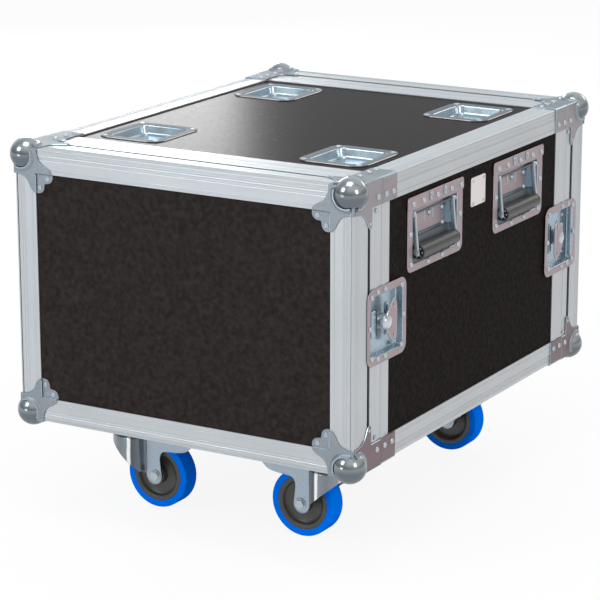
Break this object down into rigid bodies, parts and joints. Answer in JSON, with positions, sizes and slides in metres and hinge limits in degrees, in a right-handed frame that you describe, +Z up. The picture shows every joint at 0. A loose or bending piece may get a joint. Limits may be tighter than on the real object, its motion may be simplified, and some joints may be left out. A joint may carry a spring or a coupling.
{
  "type": "rack flight case",
  "caption": "Flight case on swivel castors with rack rails inside, lift-off lids at both ends, recessed handles and butterfly latches, and castor dishes in the top.",
  "frame": {"origin": "on the floor under the middle of the case", "axes": "+X to the right seen from the front lid, +Y from the front lid to the rear lid, +Z up"},
  "size_m": [0.563, 0.739, 0.5525],
  "materials": {
    "laminate": "plywood faced with dark brown-black laminate, satin",
    "board": "plywood, dark stained",
    "extrusion": "mill-finish anodised, finely ribbed",
    "corner_steel": "zinc plated, balls polished",
    "pressed_steel": "zinc plated",
    "latch_steel": "zinc plated",
    "rail": "black powder coat",
    "castor_steel": "zinc plated",
    "wheel": "blue elastic tyre on a dark grey centre, matt",
    "grip": "dark grey rubber grip on zinc plated arms"
  },
  "bodies": {
    "case": {"top_panel": "laminate", "left_panel": "laminate", "right_panel": "laminate", "bottom_panel": "board", "bottom_left_edge": "extrusion", "bottom_right_edge": "extrusion", "top_left_edge": "extrusion", "top_right_edge": "extrusion", "front_body_rim": "extrusion", "front_left_rack_rail": "rail", "front_left_latch_dish": "pressed_steel", "front_left_handle_dish": "pressed_steel", "front_left_castor_dish": "pressed_steel", "front_left_castor_plate": "castor_steel", "front_right_rack_rail": "rail", "front_right_latch_dish": "pressed_steel", "front_right_handle_dish": "pressed_steel", "front_right_castor_dish": "pressed_steel", "front_right_castor_plate": "castor_steel", "rear_body_rim": "extrusion", "rear_left_rack_rail": "rail", "rear_left_latch_dish": "pressed_steel", "rear_left_handle_dish": "pressed_steel", "rear_left_castor_dish": "pressed_steel", "rear_left_castor_plate": "castor_steel", "rear_right_rack_rail": "rail", "rear_right_latch_dish": "pressed_steel", "rear_right_handle_dish": "pressed_steel", "rear_right_castor_dish": "pressed_steel", "rear_right_castor_plate": "castor_steel"},
    "front_lid": {"front_lid_shell": "laminate", "front_lid_edging": "extrusion", "front_lid_rim": "extrusion", "front_bottom_left_ball_corner": "corner_steel", "front_top_left_ball_corner": "corner_steel", "front_bottom_right_ball_corner": "corner_steel", "front_top_right_ball_corner": "corner_steel"},
    "rear_lid": {"rear_lid_shell": "laminate", "rear_lid_edging": "extrusion", "rear_lid_rim": "extrusion", "rear_bottom_left_ball_corner": "corner_steel", "rear_top_left_ball_corner": "corner_steel", "rear_bottom_right_ball_corner": "corner_steel", "rear_top_right_ball_corner": "corner_steel"},
    "front_left_butterfly": {"front_left_latch_butterfly": "latch_steel"},
    "front_left_handle": {"front_left_handle_bail": "grip"},
    "front_left_castor": {"front_left_castor_fork": "castor_steel"},
    "front_left_wheel": {"front_left_castor_wheel": "wheel"},
    "front_right_butterfly": {"front_right_latch_butterfly": "latch_steel"},
    "front_right_handle": {"front_right_handle_bail": "grip"},
    "front_right_castor": {"front_right_castor_fork": "castor_steel"},
    "front_right_wheel": {"front_right_castor_wheel": "wheel"},
    "rear_left_butterfly": {"rear_left_latch_butterfly": "latch_steel"},
    "rear_left_handle": {"rear_left_handle_bail": "grip"},
    "rear_left_castor": {"rear_left_castor_fork": "castor_steel"},
    "rear_left_wheel": {"rear_left_castor_wheel": "wheel"},
    "rear_right_butterfly": {"rear_right_latch_butterfly": "latch_steel"},
    "rear_right_handle": {"rear_right_handle_bail": "grip"},
    "rear_right_castor": {"rear_right_castor_fork": "castor_steel"},
    "rear_right_wheel": {"rear_right_castor_wheel": "wheel"}
  },
  "joints": [
    {"name": "front_lid_lift_off", "type": "slide", "parent": "case", "child": "front_lid", "axis": [0, -1, 0], "range_m": [0, 0.45]},
    {"name": "rear_lid_lift_off", "type": "slide", "parent": "case", "child": "rear_lid", "axis": [0, 1, 0], "range_m": [0, 0.45]},
    {"name": "front_left_latch_turn", "type": "hinge", "parent": "case", "child": "front_left_butterfly", "pos_m": [-0.27, -0.2673, 0.341], "axis": [-1, 0, 0], "range_deg": [0, 180]},
    {"name": "front_left_handle_swing", "type": "hinge", "parent": "case", "child": "front_left_handle", "pos_m": [-0.265, -0.127, 0.471], "axis": [0, 1, 0], "range_deg": [0, 90], "stiffness_Nm_per_rad": 0.3, "springref_deg": -34.38},
    {"name": "front_left_castor_swivel", "type": "hinge", "parent": "case", "child": "front_left_castor", "pos_m": [-0.163, -0.222, 0.11], "axis": [0, 0, 1], "continuous": true},
    {"name": "front_left_wheel_spin", "type": "hinge", "parent": "front_left_castor", "child": "front_left_wheel", "pos_m": [-0.1215, -0.222, 0.04938], "axis": [0, 1, 0], "continuous": true},
    {"name": "front_right_latch_turn", "type": "hinge", "parent": "case", "child": "front_right_butterfly", "pos_m": [0.27, -0.2673, 0.341], "axis": [1, 0, 0], "range_deg": [0, 180]},
    {"name": "front_right_handle_swing", "type": "hinge", "parent": "case", "child": "front_right_handle", "pos_m": [0.265, -0.127, 0.471], "axis": [0, -1, 0], "range_deg": [0, 90], "stiffness_Nm_per_rad": 0.3, "springref_deg": -34.38},
    {"name": "front_right_castor_swivel", "type": "hinge", "parent": "case", "child": "front_right_castor", "pos_m": [0.163, -0.222, 0.11], "axis": [0, 0, 1], "continuous": true},
    {"name": "front_right_wheel_spin", "type": "hinge", "parent": "front_right_castor", "child": "front_right_wheel", "pos_m": [0.1215, -0.222, 0.04938], "axis": [0, 1, 0], "continuous": true},
    {"name": "rear_left_latch_turn", "type": "hinge", "parent": "case", "child": "rear_left_butterfly", "pos_m": [-0.27, 0.2803, 0.341], "axis": [-1, 0, 0], "range_deg": [0, 180]},
    {"name": "rear_left_handle_swing", "type": "hinge", "parent": "case", "child": "rear_left_handle", "pos_m": [-0.265, 0.1335, 0.471], "axis": [0, 1, 0], "range_deg": [0, 90], "stiffness_Nm_per_rad": 0.3, "springref_deg": -34.38},
    {"name": "rear_left_castor_swivel", "type": "hinge", "parent": "case", "child": "rear_left_castor", "pos_m": [-0.163, 0.222, 0.11], "axis": [0, 0, 1], "continuous": true},
    {"name": "rear_left_wheel_spin", "type": "hinge", "parent": "rear_left_castor", "child": "rear_left_wheel", "pos_m": [-0.1215, 0.222, 0.04938], "axis": [0, 1, 0], "continuous": true},
    {"name": "rear_right_latch_turn", "type": "hinge", "parent": "case", "child": "rear_right_butterfly", "pos_m": [0.27, 0.2803, 0.341], "axis": [1, 0, 0], "range_deg": [0, 180]},
    {"name": "rear_right_handle_swing", "type": "hinge", "parent": "case", "child": "rear_right_handle", "pos_m": [0.265, 0.1335, 0.471], "axis": [0, -1, 0], "range_deg": [0, 90], "stiffness_Nm_per_rad": 0.3, "springref_deg": -34.38},
    {"name": "rear_right_castor_swivel", "type": "hinge", "parent": "case", "child": "rear_right_castor", "pos_m": [0.163, 0.222, 0.11], "axis": [0, 0, 1], "continuous": true},
    {"name": "rear_right_wheel_spin", "type": "hinge", "parent": "rear_right_castor", "child": "rear_right_wheel", "pos_m": [0.1215, 0.222, 0.04938], "axis": [0, 1, 0], "continuous": true}
  ]
}
